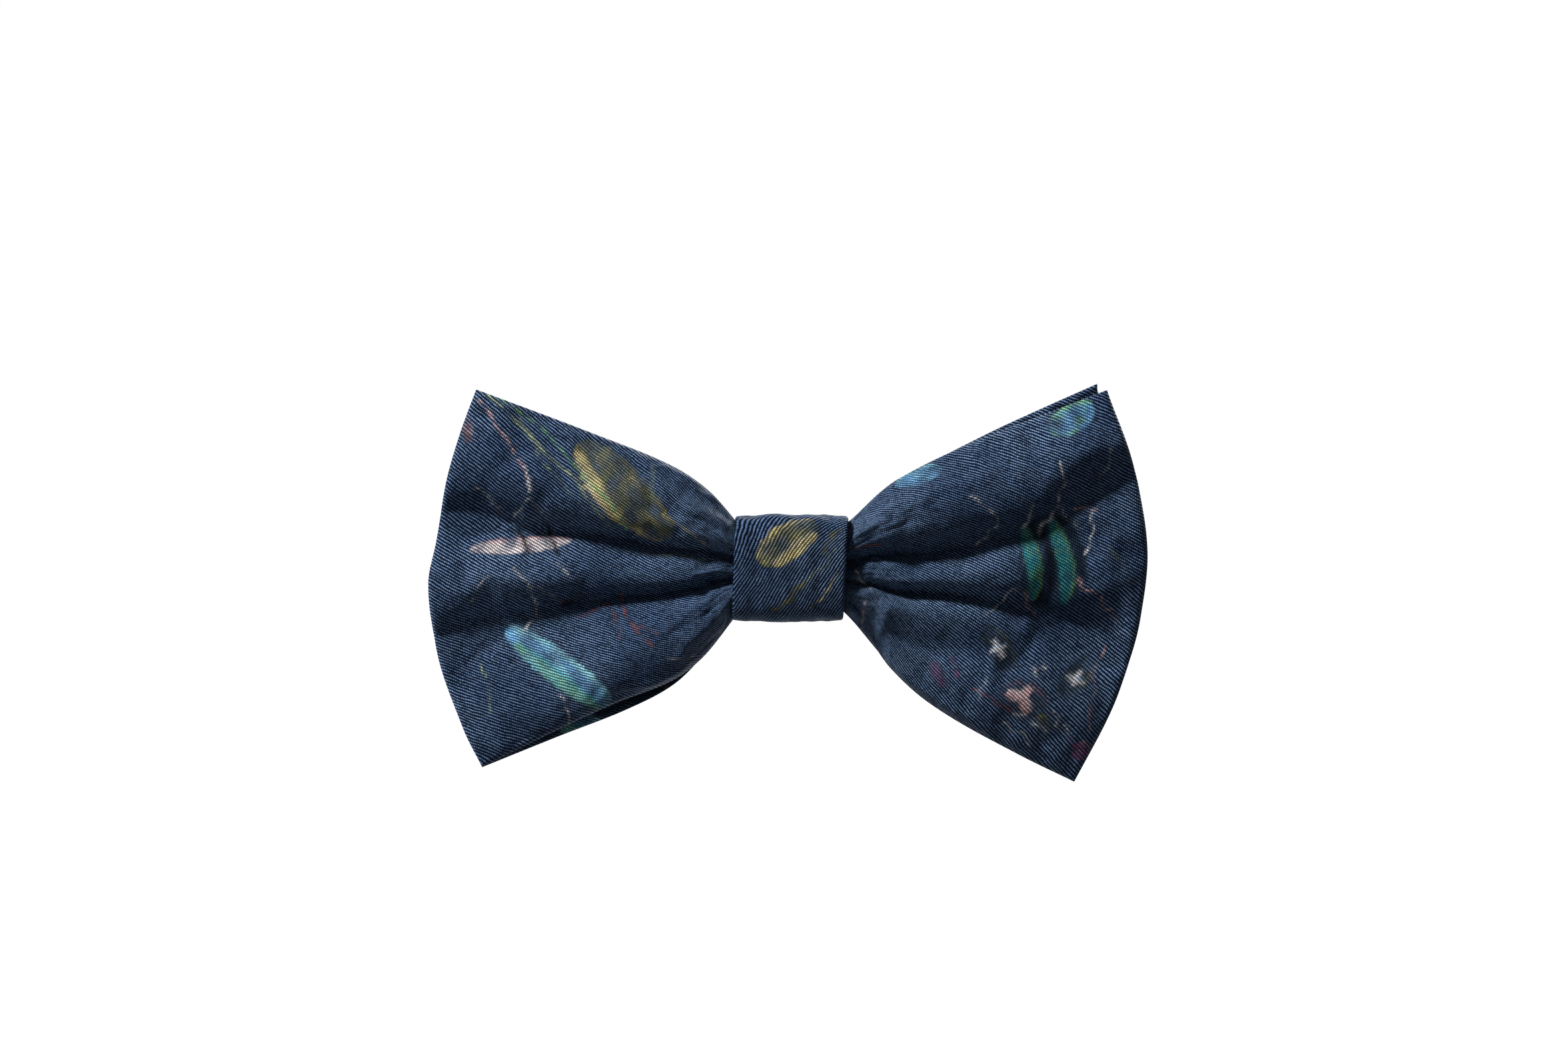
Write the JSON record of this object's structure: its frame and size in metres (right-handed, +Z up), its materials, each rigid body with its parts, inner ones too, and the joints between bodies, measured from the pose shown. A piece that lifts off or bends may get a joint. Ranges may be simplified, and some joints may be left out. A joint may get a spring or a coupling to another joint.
{
  "type": "bow tie",
  "caption": "Pre-tied butterfly bow tie of printed navy silk twill, two layered pleated bows gathered in a wrapped knot, on a spring-loaded collar clip.",
  "frame": {"origin": "middle of the clip plate's back face, where the clip lies on the collar", "axes": "+X to the right as seen from the front, +Y from the front towards the wearer, +Z up as worn; the front faces -Y"},
  "size_m": [0.1202, 0.021, 0.0664],
  "materials": {
    "printed_silk": "satin",
    "interlining": "matte",
    "thread": "satin",
    "nickel": "satin",
    "pin_steel": "satin",
    "spring_wire": "bright",
    "grip_rubber": "matte"
  },
  "bodies": {
    "root": {"front_bow_face": "printed_silk", "front_bow_interlining": "interlining", "front_bow_backing": "printed_silk", "back_bow_face": "printed_silk", "back_bow_interlining": "interlining", "back_bow_backing": "printed_silk", "gather_binding": "thread", "knot_interlining": "interlining", "knot_wrap": "printed_silk", "knot_seam_stitches": "thread", "clip_plate": "nickel", "clip_stitches": "thread", "left_hinge_pin": "pin_steel", "right_hinge_pin": "pin_steel", "left_jaw_spring": "spring_wire", "right_jaw_spring": "spring_wire"},
    "left_clip_jaw": {"left_jaw": "nickel", "left_grip_pad": "grip_rubber"},
    "right_clip_jaw": {"right_jaw": "nickel", "right_grip_pad": "grip_rubber"}
  },
  "joints": [
    {"name": "left_jaw_hinge", "type": "hinge", "parent": "root", "child": "left_clip_jaw", "pos_m": [-0.011, 0.0023, 0], "axis": [0, 0, -1], "range_deg": [0, 22], "stiffness_Nm_per_rad": 0.01, "springref_deg": -45.84, "deforming": ["left_jaw_spring"]},
    {"name": "right_jaw_hinge", "type": "hinge", "parent": "root", "child": "right_clip_jaw", "pos_m": [0.011, 0.0023, 0], "axis": [0, 0, 1], "range_deg": [0, 22], "stiffness_Nm_per_rad": 0.01, "springref_deg": -45.84, "deforming": ["right_jaw_spring"]}
  ]
}
